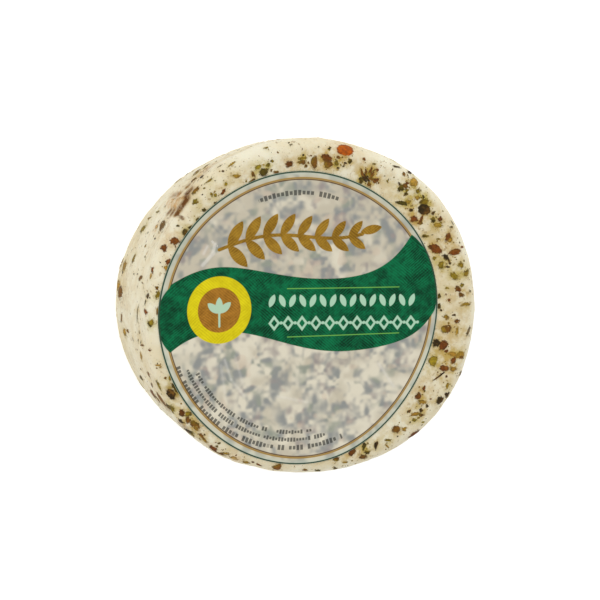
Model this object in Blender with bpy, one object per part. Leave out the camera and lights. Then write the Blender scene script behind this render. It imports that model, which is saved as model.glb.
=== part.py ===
"""A small wheel of fresh ricotta, seasoned through with herb and pepper flakes, with a round label.

Units are metres, with +Z up. The wheel lies on its base with the labelled face up. The origin is on
the base, under the middle of the wheel's box. The label's right is +X and its top is +Y.
"""

import math
import random

import bpy
import numpy as np

MM = 0.001

# The wheel: two uneven round faces with a nearly upright wall between them
WHEEL_HEIGHT = 48.0 * MM
FACE_RADIUS = 65.6 * MM
BASE_RADIUS = 64.5 * MM
FACE_EDGE_ROUND = 6.0 * MM
BASE_EDGE_ROUND = 5.6 * MM
BASE_CENTRE = np.array([0.6, -1.35]) * MM  # from the labelled face's centre
WALL_TOP = WHEEL_HEIGHT - FACE_EDGE_ROUND

# How far each face is from a circle: waves round the rim, then their cosine and sine parts
FACE_WAVES = ((2, 1.31 * MM, -0.71 * MM), (3, 0.56 * MM, -0.60 * MM), (4, -0.67 * MM, 0.30 * MM))
BASE_WAVES = ((2, 1.09 * MM, 0.64 * MM), (3, -1.05 * MM, 0.79 * MM), (4, 0.15 * MM, 0.07 * MM))

# Gentle swells of the labelled face
FACE_SWELL = 0.25 * MM
FACE_SWELL_LENGTH = 62.0 * MM

# The label: a round film that lies on the face and bends over its edge where it comes close to it
LABEL_RADIUS = 55.4 * MM
LABEL_CENTRE = np.array([-6.9, -2.3]) * MM  # from the labelled face's centre
LABEL_THICKNESS = 0.3 * MM
LABEL_GAP = 0.35 * MM

# The flakes: flat, angular and half sunk, on the wall and on the face's bare margin
FLAKE_COUNT = 150
FLAKE_LONGEST = 7.0 * MM
FLAKE_SHORTEST = 2.8 * MM
FLAKE_PROUD = 0.45 * MM
FLAKE_SUNK = 0.9 * MM
FLAKE_CORNERS = 6
FLAKE_WIDTH_SHARES = (0.45, 0.8)  # of its length
FLAKE_CORNER_SWAY = 0.25  # of the angle between two corners
FLAKE_CROWN_SHARE = 0.72  # of its outline, for the side that shows
FLAKE_SIZE_FALL = 0.6  # below 1, most flakes are nearer the shortest
FLAKE_CLEAR_OF_LABEL = 4.2 * MM
FLAKE_CLEAR_OF_BASE = 7.5 * MM
FACE_MARGIN = 20.0 * MM  # widest bare stretch between the rim and the label
KINDS_IN_TURN = ("herb_flake", "pepper_flake", "herb_flake", "pepper_flake", "herb_flake")
PLACE_TRIES = 14
FLAKE_SEED = 41

# Fineness of the meshes
WHEEL_SIDES = 72
WALL_STEPS = 6
EDGE_STEPS = 5
FACE_STEPS = 5
LABEL_SIDES = 60
LABEL_RINGS = 9

# Edges that meet at more than this, in degrees, are shaded sharp
WHEEL_SHARP_ANGLE = 28.0
LABEL_SHARP_ANGLE = 60.0

COLOURS = {
    "cheese": ((0.86, 0.79, 0.62), 0.55),
    "label": ((0.72, 0.70, 0.60), 0.35),
    "herb_flake": ((0.10, 0.11, 0.035), 0.8),
    "pepper_flake": ((0.32, 0.075, 0.02), 0.7),
}


def clear_scene():
    for thing in list(bpy.data.objects):
        bpy.data.objects.remove(thing, do_unlink=True)


def material(name):
    colour, roughness = COLOURS[name]
    made = bpy.data.materials.new(name)
    made.use_nodes = True
    made.diffuse_color = (*colour, 1.0)
    shader = made.node_tree.nodes["Principled BSDF"]
    shader.inputs["Base Color"].default_value = (*colour, 1.0)
    shader.inputs["Roughness"].default_value = roughness
    shader.inputs["Metallic"].default_value = 0.0
    return made


def waves(parts, bearing):
    """Sum of cosines and sines round the rim."""
    return sum(a * np.cos(n * bearing) + b * np.sin(n * bearing) for n, a, b in parts)


def rim_radius(bearing, down):
    """Radius of the wall in a direction, from the face (down 0) to the base (down 1)."""
    face = FACE_RADIUS + waves(FACE_WAVES, bearing)
    base = BASE_RADIUS + waves(BASE_WAVES, bearing)
    return face + (base - face) * down


def face_height(x, y):
    """Height of the labelled face: level with gentle swells, and rounded down to the wall at its rim."""
    bearing = np.arctan2(y, x)
    from_rim = rim_radius(bearing, 0.0) - np.hypot(x, y)
    over = np.clip(FACE_EDGE_ROUND - from_rim, 0.0, FACE_EDGE_ROUND)
    drop = FACE_EDGE_ROUND - np.sqrt(FACE_EDGE_ROUND**2 - over**2)
    turn = 2.0 * math.pi / FACE_SWELL_LENGTH
    swell = FACE_SWELL * np.sin(turn * x + 0.7) * np.cos(turn * y - 0.4)
    return WHEEL_HEIGHT - FACE_SWELL - drop + swell


def wheel_profile():
    """Rings from the face's centre to the base's, each as its stretch and its place there.

    On the face the place is a share of its level part's radius, and on the face's edge a distance in
    from the wall. On the wall it is a share of the way down, and on the base's edge an angle.
    """
    quarter = [0.5 * math.pi * i / EDGE_STEPS for i in range(EDGE_STEPS + 1)]
    face = [("face", i / FACE_STEPS) for i in range(1, FACE_STEPS)]
    edge = [("edge", FACE_EDGE_ROUND * (1.0 - math.sin(angle))) for angle in quarter]
    wall = [("wall", i / WALL_STEPS) for i in range(1, WALL_STEPS)]
    base = [("base", angle) for angle in quarter]
    return face + edge + wall + base


def wheel_ring(stretch, place, bearing):
    """One ring of the wheel's surface at all bearings."""
    cos, sin = np.cos(bearing), np.sin(bearing)
    if stretch in ("face", "edge"):
        rim = rim_radius(bearing, 0.0)
        radius = (rim - FACE_EDGE_ROUND) * place if stretch == "face" else rim - place
        x, y = radius * cos, radius * sin
        return np.stack([x, y, face_height(x, y)], axis=1)
    if stretch == "wall":
        down, inset = place, 0.0
        height = WALL_TOP + (BASE_EDGE_ROUND - WALL_TOP) * place
    else:
        down = 1.0
        inset = BASE_EDGE_ROUND * (1.0 - math.cos(place))
        height = BASE_EDGE_ROUND * (1.0 - math.sin(place))
    radius = rim_radius(bearing, down) - inset
    x = BASE_CENTRE[0] * down + radius * cos
    y = BASE_CENTRE[1] * down + radius * sin
    return np.stack([x, y, np.full_like(x, height)], axis=1)


def lofted(rings, top, bottom):
    """Points and faces of a closed form through rings that run from its top point to its bottom point."""
    sides = len(rings[0])
    points = np.concatenate([*rings, [top], [bottom]])
    after = (np.arange(sides) + 1) % sides
    faces = []
    for i in range(len(rings) - 1):
        upper, lower = i * sides, (i + 1) * sides
        faces += [(upper + j, lower + j, lower + k, upper + k) for j, k in enumerate(after)]
    top_index, bottom_index = len(points) - 2, len(points) - 1
    last = (len(rings) - 1) * sides
    faces += [(top_index, j, k) for j, k in enumerate(after)]
    faces += [(bottom_index, last + k, last + j) for j, k in enumerate(after)]
    return points, [tuple(int(index) for index in face) for face in faces]


def new_object(name, points, faces, materials):
    mesh = bpy.data.meshes.new(name)
    mesh.from_pydata([tuple(point) for point in points], [], faces)
    mesh.update()
    for each in materials:
        mesh.materials.append(each)
    made = bpy.data.objects.new(name, mesh)
    bpy.context.scene.collection.objects.link(made)
    return made


def make_wheel(materials):
    bearing = np.arange(WHEEL_SIDES) * 2.0 * math.pi / WHEEL_SIDES
    rings = [wheel_ring(stretch, place, bearing) for stretch, place in wheel_profile()]
    top = (0.0, 0.0, float(face_height(0.0, 0.0)))
    bottom = (BASE_CENTRE[0], BASE_CENTRE[1], 0.0)
    return new_object("ricotta_wheel", *lofted(rings, top, bottom), materials)


def wall_place(bearing, height):
    """Point on the wall and its outward direction."""
    down = min(max((WALL_TOP - height) / (WALL_TOP - BASE_EDGE_ROUND), 0.0), 1.0)
    radius = rim_radius(bearing, down)
    out = np.array([math.cos(bearing), math.sin(bearing), 0.0])
    centre = np.array([BASE_CENTRE[0] * down, BASE_CENTRE[1] * down, height])
    return centre + radius * out, out


def face_place(bearing, from_rim):
    """Point on the labelled face, its rounded edge included, and its outward direction."""
    radius = rim_radius(bearing, 0.0) - from_rim
    x, y = radius * math.cos(bearing), radius * math.sin(bearing)
    lean = max(FACE_EDGE_ROUND - from_rim, 0.0) / FACE_EDGE_ROUND
    out = np.array([lean * math.cos(bearing), lean * math.sin(bearing), math.sqrt(1.0 - lean**2)])
    return np.array([x, y, float(face_height(x, y))]), out


def drawn_place(draw):
    """A place for a flake, drawn evenly over the wall and the face's margin, or None where it may not lie."""
    bearing = draw.uniform(0.0, 2.0 * math.pi)
    height = draw.uniform(FLAKE_CLEAR_OF_BASE, WALL_TOP + FACE_MARGIN)
    if height < WALL_TOP:
        return wall_place(bearing, height)
    point, out = face_place(bearing, height - WALL_TOP)
    clear = np.hypot(*(point[:2] - LABEL_CENTRE)) > LABEL_RADIUS + FLAKE_CLEAR_OF_LABEL
    return (point, out) if clear else None


def spread_places(draw):
    """Places spread evenly: of several drawn ones, each time the one farthest from those before it."""
    places = []
    while len(places) < FLAKE_COUNT:
        tries = [drawn_place(draw) for _ in range(PLACE_TRIES)]
        tries = [place for place in tries if place is not None]
        if not tries:
            continue
        taken = np.array([point for point, _ in places])
        if len(taken) == 0:
            places.append(tries[0])
            continue
        room = [np.min(np.linalg.norm(taken - point, axis=1)) for point, _ in tries]
        places.append(tries[int(np.argmax(room))])
    return places


def flake_mesh(point, out, length, draw):
    """An angular plate: an uneven polygon below the surface and a smaller one proud of it."""
    across = np.cross([0.0, 1.0, 0.0] if out[2] > 0.7 else [0.0, 0.0, 1.0], out)
    across /= np.linalg.norm(across)
    along = np.cross(out, across)
    turn = draw.uniform(0.0, math.pi)
    width = length * draw.uniform(*FLAKE_WIDTH_SHARES)
    foot, crown = [], []
    for i in range(FLAKE_CORNERS):
        sway = draw.uniform(-FLAKE_CORNER_SWAY, FLAKE_CORNER_SWAY)
        angle = 2.0 * math.pi * (i + sway) / FLAKE_CORNERS
        u = 0.5 * length * math.cos(angle)
        v = 0.5 * width * math.sin(angle)
        a = u * math.cos(turn) - v * math.sin(turn)
        b = u * math.sin(turn) + v * math.cos(turn)
        foot.append(point + across * a + along * b - out * FLAKE_SUNK)
        crown.append(point + FLAKE_CROWN_SHARE * (across * a + along * b) + out * FLAKE_PROUD)
    rings = [np.array(crown), np.array(foot)]
    return lofted(rings, point + out * FLAKE_PROUD, point - out * FLAKE_SUNK)


def fuse_flakes(wheel, materials):
    """Joins the flakes to the wheel as relief, the longest placed first."""
    draw = random.Random(FLAKE_SEED)
    flakes = bpy.data.collections.new("flakes")
    bpy.context.scene.collection.children.link(flakes)
    for i, (point, out) in enumerate(spread_places(draw)):
        share = (i / (FLAKE_COUNT - 1)) ** FLAKE_SIZE_FALL
        length = FLAKE_LONGEST + (FLAKE_SHORTEST - FLAKE_LONGEST) * share
        kind = materials[KINDS_IN_TURN[i % len(KINDS_IN_TURN)]]
        flake = new_object(f"flake_{i:03d}", *flake_mesh(point, out, length, draw), [kind])
        bpy.context.scene.collection.objects.unlink(flake)
        flakes.objects.link(flake)
    join = wheel.modifiers.new("flakes", "BOOLEAN")
    join.operation = "UNION"
    join.operand_type = "COLLECTION"
    join.collection = flakes
    join.solver = "EXACT"
    join.material_mode = "TRANSFER"
    bpy.context.view_layer.objects.active = wheel
    bpy.ops.object.modifier_apply(modifier=join.name)
    for flake in list(flakes.objects):
        bpy.data.objects.remove(flake, do_unlink=True)
    bpy.data.collections.remove(flakes)


def make_label(materials):
    """A thin disc whose two sides follow the face, the lower one just clear of it."""
    bearing = np.arange(LABEL_SIDES) * 2.0 * math.pi / LABEL_SIDES
    upper = []
    for i in range(1, LABEL_RINGS + 1):
        radius = LABEL_RADIUS * math.sin(0.5 * math.pi * i / LABEL_RINGS)
        x = LABEL_CENTRE[0] + radius * np.cos(bearing)
        y = LABEL_CENTRE[1] + radius * np.sin(bearing)
        upper.append(np.stack([x, y, face_height(x, y) + LABEL_GAP + LABEL_THICKNESS], axis=1))
    lift = np.array([0.0, 0.0, LABEL_THICKNESS])
    lower = [ring - lift for ring in reversed(upper)]
    middle = float(face_height(*LABEL_CENTRE)) + LABEL_GAP
    top = (*LABEL_CENTRE, middle + LABEL_THICKNESS)
    bottom = (*LABEL_CENTRE, middle)
    return new_object("face_label", *lofted(upper + lower, top, bottom), materials)


def centre_on_box(wheel, pieces):
    """Moves the pieces so that the origin is under the middle of the wheel's box."""
    corners = np.array([vertex.co for vertex in wheel.data.vertices])
    middle = 0.5 * (corners.min(axis=0) + corners.max(axis=0))
    for piece in pieces:
        for vertex in piece.data.vertices:
            vertex.co.x -= middle[0]
            vertex.co.y -= middle[1]
        piece.data.update()


def shade(piece, sharp_angle):
    piece.data.shade_smooth()
    piece.data.set_sharp_from_angle(angle=math.radians(sharp_angle))


def main():
    clear_scene()
    materials = {name: material(name) for name in COLOURS}
    wheel = make_wheel([materials["cheese"], materials["herb_flake"], materials["pepper_flake"]])
    fuse_flakes(wheel, materials)
    label = make_label([materials["label"]])
    centre_on_box(wheel, [wheel, label])
    shade(wheel, WHEEL_SHARP_ANGLE)
    shade(label, LABEL_SHARP_ANGLE)


main()
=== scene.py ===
"""A small wheel of fresh ricotta, seasoned with herb and pepper flakes, with a round printed label.

The wheel lies on its base with the labelled face up. Metres, +Z up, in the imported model's frame.
"""

import math

import bpy
import numpy as np
from mathutils import Matrix, Vector


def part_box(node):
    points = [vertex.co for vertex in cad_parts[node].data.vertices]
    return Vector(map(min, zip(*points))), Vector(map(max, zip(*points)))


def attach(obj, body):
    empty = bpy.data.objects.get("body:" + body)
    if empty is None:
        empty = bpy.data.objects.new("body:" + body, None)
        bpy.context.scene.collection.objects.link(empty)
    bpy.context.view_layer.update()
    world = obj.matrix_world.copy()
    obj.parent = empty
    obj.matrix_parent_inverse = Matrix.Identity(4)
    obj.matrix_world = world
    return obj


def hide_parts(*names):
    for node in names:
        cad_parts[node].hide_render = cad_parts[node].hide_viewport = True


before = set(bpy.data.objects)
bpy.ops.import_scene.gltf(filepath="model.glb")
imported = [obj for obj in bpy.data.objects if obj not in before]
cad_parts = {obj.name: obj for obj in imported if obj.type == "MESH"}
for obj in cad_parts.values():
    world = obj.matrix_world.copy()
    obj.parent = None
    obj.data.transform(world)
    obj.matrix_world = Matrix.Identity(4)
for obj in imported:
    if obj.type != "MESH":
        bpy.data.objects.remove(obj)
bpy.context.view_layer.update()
MM = 0.001


# The camera
# It looks down on the lying wheel from the label's left and slightly above its top, with a long lens,
# so that the label reads upright. The photograph's pixels are turned into places by the same sizes.
IMAGE_SIZE = 600
PRINT_PIXEL = (297.84, 316.14)  # where the print's own middle falls in the photograph
PIXEL_AT_PRINT = 0.3743 * MM
LENS_PIXELS = 2400.0
VIEW_TILT = math.radians(22.4)  # between the line of sight and straight down
TILT_BEARING = math.radians(-22.8)  # the way that the label leans away, from +X
CAMERA_ROLL = math.radians(21.4)
SENSOR_MM = 36.0

label_low, label_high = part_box("face_label")
LABEL_CENTRE = 0.5 * (np.array(label_low) + np.array(label_high))[:2]
PRINT_MIDDLE = np.array([*(LABEL_CENTRE + np.array([-1.3, 0.55]) * MM), 48.0 * MM])

sight = np.array([
    -math.sin(VIEW_TILT) * math.cos(TILT_BEARING),
    -math.sin(VIEW_TILT) * math.sin(TILT_BEARING),
    math.cos(VIEW_TILT),
])
lean = np.array([math.cos(TILT_BEARING), math.sin(TILT_BEARING), 0.0])
lean -= lean.dot(sight) * sight
lean /= np.linalg.norm(lean)
level = np.cross(sight, lean)
camera_right = math.cos(CAMERA_ROLL) * lean + math.sin(CAMERA_ROLL) * level
camera_up = math.cos(CAMERA_ROLL) * level - math.sin(CAMERA_ROLL) * lean
camera_place = PRINT_MIDDLE + sight * LENS_PIXELS * PIXEL_AT_PRINT


def aim_camera():
    """Turns the camera so that the print's middle falls on its own pixel, a little below the centre."""
    across = 0.5 * IMAGE_SIZE - PRINT_PIXEL[0]
    above = PRINT_PIXEL[1] - 0.5 * IMAGE_SIZE
    forward = -sight * LENS_PIXELS + camera_right * across + camera_up * above
    forward /= np.linalg.norm(forward)
    right = camera_right - camera_right.dot(forward) * forward
    right /= np.linalg.norm(right)
    lens = bpy.data.cameras.new("camera")
    lens.sensor_width = SENSOR_MM
    lens.lens = SENSOR_MM * LENS_PIXELS / IMAGE_SIZE
    camera = bpy.data.objects.new("camera", lens)
    turn = np.eye(4)
    turn[:3] = np.column_stack([right, np.cross(right, forward), -forward, camera_place])
    camera.matrix_world = Matrix(turn.tolist())
    bpy.context.scene.collection.objects.link(camera)
    bpy.context.scene.camera = camera


aim_camera()


# The wheel of cheese
# Fresh ricotta pressed in a round mould: a moist, fine-grained curd with a nearly upright wall, soft
# rounded edges and a slightly uneven rim. Herb and pepper flakes are mixed all through it.
WHEEL_HEIGHT = 48.0 * MM
FACE_RADIUS = 65.6 * MM
BASE_RADIUS = 64.5 * MM
FACE_EDGE_ROUND = 6.0 * MM
BASE_EDGE_ROUND = 5.6 * MM
WALL_TOP = WHEEL_HEIGHT - FACE_EDGE_ROUND
FACE_CENTRE = LABEL_CENTRE + np.array([6.9, 2.3]) * MM
BASE_CENTRE = FACE_CENTRE + np.array([0.6, -1.35]) * MM
FACE_WAVES = ((2, 1.31 * MM, -0.71 * MM), (3, 0.56 * MM, -0.60 * MM), (4, -0.67 * MM, 0.30 * MM))
BASE_WAVES = ((2, 1.09 * MM, 0.64 * MM), (3, -1.05 * MM, 0.79 * MM), (4, 0.15 * MM, 0.07 * MM))
FACE_SWELL = 0.25 * MM
FACE_SWELL_LENGTH = 62.0 * MM
LABEL_RADIUS = 55.4 * MM
WHEEL_SIDES = 660
LATTICE_SIZE = 64
lattice = np.random.default_rng(5).uniform(-1.0, 1.0, (LATTICE_SIZE,) * 3)


def waves(parts, bearing):
    """Sum of cosines and sines round the rim."""
    return sum(a * np.cos(n * bearing) + b * np.sin(n * bearing) for n, a, b in parts)


def axis_at(height):
    """Share of the way down the wall, and the wheel's centre there."""
    down = np.clip((WALL_TOP - height) / (WALL_TOP - BASE_EDGE_ROUND), 0.0, 1.0)
    return down, FACE_CENTRE + (BASE_CENTRE - FACE_CENTRE) * down[..., None]


def rim_radius(bearing, down):
    """The wall's radius: the face's circle and waves, drawn straight down to the base's."""
    face = FACE_RADIUS + waves(FACE_WAVES, bearing)
    base = BASE_RADIUS + waves(BASE_WAVES, bearing)
    return face + (base - face) * down


def face_level(x, y):
    """Height of the face without its rounded edge: a product of a sine and a cosine for its swells."""
    turn = 2.0 * math.pi / FACE_SWELL_LENGTH
    from_x, from_y = x - FACE_CENTRE[0], y - FACE_CENTRE[1]
    swell = FACE_SWELL * np.sin(turn * from_x + 0.7) * np.cos(turn * from_y - 0.4)
    return WHEEL_HEIGHT - FACE_SWELL + swell


def core_place(points):
    """Nearest place on the wheel's inner core, and the edge rounding by which the core is grown.

    A point is brought onto the core by limiting its radius and its height.
    """
    down, centre = axis_at(points[:, 2])
    flat = points[:, :2] - centre
    bearing = np.arctan2(flat[:, 1], flat[:, 0])
    rounding = np.where(points[:, 2] > 0.5 * WHEEL_HEIGHT, FACE_EDGE_ROUND, BASE_EDGE_ROUND)
    radius = np.minimum(np.hypot(flat[:, 0], flat[:, 1]), rim_radius(bearing, down) - rounding)
    height = np.clip(points[:, 2], rounding, face_level(points[:, 0], points[:, 1]) - rounding)
    around = np.stack([np.cos(bearing), np.sin(bearing)], axis=1)
    return np.column_stack([centre + radius[:, None] * around, height]), rounding


def onto_wheel(points):
    """Nearest places on the smooth wheel, and their outward directions."""
    core, rounding = core_place(points)
    outward = points - core
    outward /= np.linalg.norm(outward, axis=1)[:, None]
    return core + rounding[:, None] * outward, outward


def lumps(points, size, seed):
    """Smooth random bumps from -1 to 1: random lattice values, blended by 3t^2 - 2t^3 along each axis."""
    scaled = points / size + np.array([17.3, 5.9, 29.1]) * seed
    cell = np.floor(scaled).astype(int)
    blend = scaled - cell
    blend = blend * blend * (3.0 - 2.0 * blend)
    total = np.zeros(len(points))
    for corner in np.ndindex(2, 2, 2):
        share = np.prod(np.where(np.array(corner), blend, 1.0 - blend), axis=1)
        i, j, k = ((cell + corner) % LATTICE_SIZE).T
        total += share * lattice[i, j, k]
    return total


def under_label(points):
    """1 under the label, falling to 0 over 3 mm outside its edge, and 0 away from the face."""
    beyond = np.hypot(points[:, 0] - LABEL_CENTRE[0], points[:, 1] - LABEL_CENTRE[1]) - LABEL_RADIUS
    return (1.0 - np.clip(beyond / (3.0 * MM), 0.0, 1.0)) * (points[:, 2] > WALL_TOP - 2.0 * MM)


def soft_form(points):
    """The slow unevenness that cheese and label share."""
    return 0.22 * MM * lumps(points, 21.0 * MM, 3) + 0.12 * MM * lumps(points, 9.0 * MM, 4)


# Their share also sets how much stain and painted shade the wall takes there, the lower left ones for its
# shadow.
CRAGS = (  # where the wall is torn: place in the photograph's pixels, reach in millimetres, and share
    ((182, 202), 10.0, 0.35),
    ((195, 180), 9.0, 0.8),
    ((208, 168), 8.0, 0.7),
    ((168, 226), 8.0, 0.8),
    ((172, 392), 9.0, 0.6),
    ((196, 428), 9.0, 0.5),
    ((124, 300), 9.0, 0.4),
)


SEARCHED_BEFORE = 45.0 * MM  # nearer than the print's middle, along each line of sight
SEARCHED_BEHIND = 75.0 * MM
SEARCH_STEP = 0.25 * MM


def sight_lines(pixels, depths):
    """Points along the line of sight of each pixel, at the given distances."""
    x, y = np.array(pixels, float).T
    across, above = (x - PRINT_PIXEL[0])[:, None], (PRINT_PIXEL[1] - y)[:, None]
    way = -sight * LENS_PIXELS + camera_right * across + camera_up * above
    way /= np.linalg.norm(way, axis=1)[:, None]
    return camera_place + way[:, None] * depths[None, :, None]


def seen_places(pixels):
    """Where the smooth wheel is first met by each pixel's line of sight, or is nearest to it."""
    middle = LENS_PIXELS * PIXEL_AT_PRINT
    depths = np.arange(middle - SEARCHED_BEFORE, middle + SEARCHED_BEHIND, SEARCH_STEP)
    lines = sight_lines(pixels, depths)
    flat = lines.reshape(-1, 3)
    core, rounding = core_place(flat)
    apart = (np.linalg.norm(flat - core, axis=1) - rounding).reshape(len(lines), -1)
    first = np.where((apart < 0.0).any(axis=1), np.argmax(apart < 0.0, axis=1), np.argmin(apart, axis=1))
    return onto_wheel(lines[np.arange(len(lines)), first])


crag_places, _ = seen_places([pixel for pixel, _, _ in CRAGS])

# Each one's shade is painted shade in brown; the last four paint the wall's shadow along its lower left.
HOLLOWS = (  # pixel, length and width in pixels, turn in degrees, rise in millimetres, shade, warm tint
    ((176.5, 194.6), 22.0, 5.0, 3.0, -0.7, 0.7, 0.9),
    ((182.0, 188.5), 15.0, 3.5, 22.0, 0.6, 0.0, 0.0),
    ((189.5, 191.0), 11.0, 3.4, 42.0, -0.7, 1.1, 0.3),
    ((187.0, 196.5), 8.0, 5.0, 60.0, -0.5, 0.8, 0.3),
    ((182.8, 204.6), 19.0, 5.0, 54.0, -1.0, 1.5, 0.3),
    ((178.6, 202.0), 16.0, 6.0, 57.0, 0.8, 0.1, 1.1),
    ((171.5, 203.0), 11.0, 9.0, 70.0, 1.0, 0.05, 0.8),
    ((176.6, 214.0), 7.0, 3.0, 48.0, -0.4, 1.3, 0.0),
    ((180.6, 216.9), 8.0, 2.6, -42.0, -0.4, 1.2, 0.0),
    ((169.4, 211.9), 9.0, 2.2, 52.0, -0.25, 0.9, 0.0),
    ((172.4, 212.6), 8.0, 2.4, 56.0, -0.25, 0.9, 0.0),
    ((187.6, 186.3), 8.0, 2.0, 45.0, -0.25, 0.7, 0.0),
    ((173.0, 391.0), 15.0, 11.0, -50.0, -0.4, 0.4, 0.0),
    ((166.0, 406.0), 16.0, 5.0, -48.0, -0.3, 0.4, 0.0),
    ((184.0, 427.0), 20.0, 4.5, -42.0, -0.3, 0.4, 0.2),
    ((196.0, 427.0), 12.0, 7.0, -42.0, -0.3, 0.2, 0.3),
)
HOLLOW_REACH = 7.0 * MM
hollow_places, _ = seen_places([hollow[0] for hollow in HOLLOWS])


def seen_pixels(points):
    """Where the points fall in the photograph, to the right and down."""
    away = points - camera_place
    depth = -(away @ sight)
    across, above = away @ camera_right / depth, away @ camera_up / depth
    return PRINT_PIXEL[0] + LENS_PIXELS * across, PRINT_PIXEL[1] - LENS_PIXELS * above


def hollows_at(points):
    """Rise, painted shade and warm tint of the torn hollows: sums of long bell curves, as they are seen."""
    x, y = seen_pixels(points)
    sums = np.zeros((3, len(points)))
    for place, (pixel, length, width, turn, *amounts) in zip(hollow_places, HOLLOWS):
        cos, sin = math.cos(math.radians(turn)), math.sin(math.radians(turn))
        right, up = x - pixel[0], pixel[1] - y
        along, across = (right * cos + up * sin) / (0.5 * length), (up * cos - right * sin) / (0.5 * width)
        off = np.linalg.norm(points - place, axis=1) / HOLLOW_REACH
        bell = np.exp(-(along**4) - across**2 - off**4)
        sums += np.array(amounts)[:, None] * bell
    return sums


def crag_share(points):
    """How torn the wall is at each point: a sum of bell curves round the crags."""
    total = np.zeros(len(points))
    for place, (_, reach, share) in zip(crag_places, CRAGS):
        off = np.linalg.norm(points - place, axis=1) / (reach * MM)
        total += share * np.exp(-(off**2))
    return total


def fold_lines(points):
    """Ridged lumps, drawn out level round the wheel: 1 on the ridges, -1 in the folds between them."""
    level = points * (1.0, 1.0, 3.6)
    return 1.0 - 2.0 * np.abs(0.7 * lumps(level, 8.0 * MM, 10) + 0.5 * lumps(level, 3.6 * MM, 11))


def curd_grain(points):
    """The curd's own relief: lumps, grains, small sunk pits, level streaks and torn places on the wall."""
    grains = 0.16 * MM * lumps(points, 5.2 * MM, 5) + 0.09 * MM * lumps(points, 2.0 * MM, 6)
    often = np.clip(lumps(points, 11.0 * MM, 8) + 0.3, 0.0, 1.0)
    pit = np.clip(lumps(points, 2.4 * MM, 7) - 0.4, 0.0, 1.0) * often
    wall = np.clip((WHEEL_HEIGHT - 2.0 * MM - points[:, 2]) / (4.0 * MM), 0.0, 1.0)
    streaks = lumps(points * (1.0, 1.0, 6.0), 9.0 * MM, 9)
    folds = np.clip(fold_lines(points) - 0.4, -1.0, 0.5)
    grains += hollows_at(points)[0] * MM
    return grains - 0.6 * MM * pit + (0.09 * streaks + 0.75 * folds * crag_share(points)) * wall * MM


PRESSED_SMOOTH = 0.8  # share of the curd's relief that is lost under the label
PRESSED_DEEP = 0.15 * MM


def on_cheese(points, lift):
    """Places on the uneven cheese nearest to the points, raised by lift, and their outward directions."""
    place, outward = onto_wheel(points)
    under = under_label(place)
    relief = soft_form(place) + curd_grain(place) * (1.0 - PRESSED_SMOOTH * under) - PRESSED_DEEP * under
    relief *= np.clip(place[:, 2] / (2.0 * MM), 0.0, 1.0)
    raised = place + outward * (relief + lift)[:, None]
    raised[:, 2] = np.maximum(raised[:, 2], 0.0)
    return raised, outward


def wheel_rings():
    """Share of the flat part's radius, height and extra radius of each ring, from the face to the base."""
    quarter = np.linspace(0.0, 0.5 * math.pi, 14)
    face = [(share, WHEEL_HEIGHT, 0.0) for share in np.linspace(0.08, 0.66, 8)]
    margin = [(share, WHEEL_HEIGHT, 0.0) for share in np.linspace(0.68, 0.995, 34)]
    edge = [(1.0, WALL_TOP + FACE_EDGE_ROUND * math.cos(a), FACE_EDGE_ROUND * math.sin(a)) for a in quarter]
    wall = [(1.0, height, FACE_EDGE_ROUND) for height in np.linspace(WALL_TOP, BASE_EDGE_ROUND, 72)[1:-1]]
    foot = [
        (1.0, BASE_EDGE_ROUND * (1.0 - math.sin(a)), BASE_EDGE_ROUND * math.cos(a)) for a in quarter[::2]
    ]
    base = [(share, 0.0, 0.0) for share in np.linspace(0.97, 0.08, 8)]
    return face + margin + edge + wall + foot + base


def ringed_form(rings, top, bottom):
    """Points and faces of a closed form: rings joined by quads from the top down, a fan at each pole."""
    count, sides = len(rings), len(rings[0])
    points = np.concatenate([np.concatenate(rings), [top], [bottom]])
    here = np.arange(sides)
    after = (here + 1) % sides
    start = (np.arange(count - 1) * sides)[:, None]
    quads = np.stack([start + here, start + sides + here, start + sides + after, start + after], axis=-1)
    last = (count - 1) * sides
    top_fan = np.stack([np.full(sides, len(points) - 2), here, after], axis=1)
    bottom_fan = np.stack([np.full(sides, len(points) - 1), last + after, last + here], axis=1)
    return points, quads.reshape(-1, 4).tolist() + top_fan.tolist() + bottom_fan.tolist()


def new_piece(name, points, faces, finish, replaced):
    """A smooth-shaded mesh piece on the root body, with its finish, standing for the solid it replaces."""
    mesh = bpy.data.meshes.new(name)
    mesh.from_pydata(points.tolist(), [], faces)
    mesh.update()
    mesh.shade_smooth()
    mesh.materials.append(finish)
    piece = bpy.data.objects.new(name, mesh)
    bpy.context.scene.collection.objects.link(piece)
    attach(piece, "root")
    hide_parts(replaced)
    return piece


def add_numbers(piece, name, values):
    """One number for each point of the piece, for its material to read."""
    numbers = piece.data.attributes.new(name, "FLOAT", "POINT")
    numbers.data.foreach_set("value", np.ascontiguousarray(values, np.float32))


def add_colours(piece, name, values):
    """One linear colour for each point of the piece, for its material to read."""
    colours = piece.data.attributes.new(name, "FLOAT_COLOR", "POINT")
    full = np.column_stack([values, np.ones(len(values))])
    colours.data.foreach_set("color", np.ascontiguousarray(full, np.float32).ravel())


def linear(red, green, blue):
    """A colour as seen on a screen, 0 to 255, turned into the linear values that light uses."""
    shares = np.array([red, green, blue]) / 255.0
    return tuple(np.where(shares <= 0.04045, shares / 12.92, ((shares + 0.055) / 1.055) ** 2.4))


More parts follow.
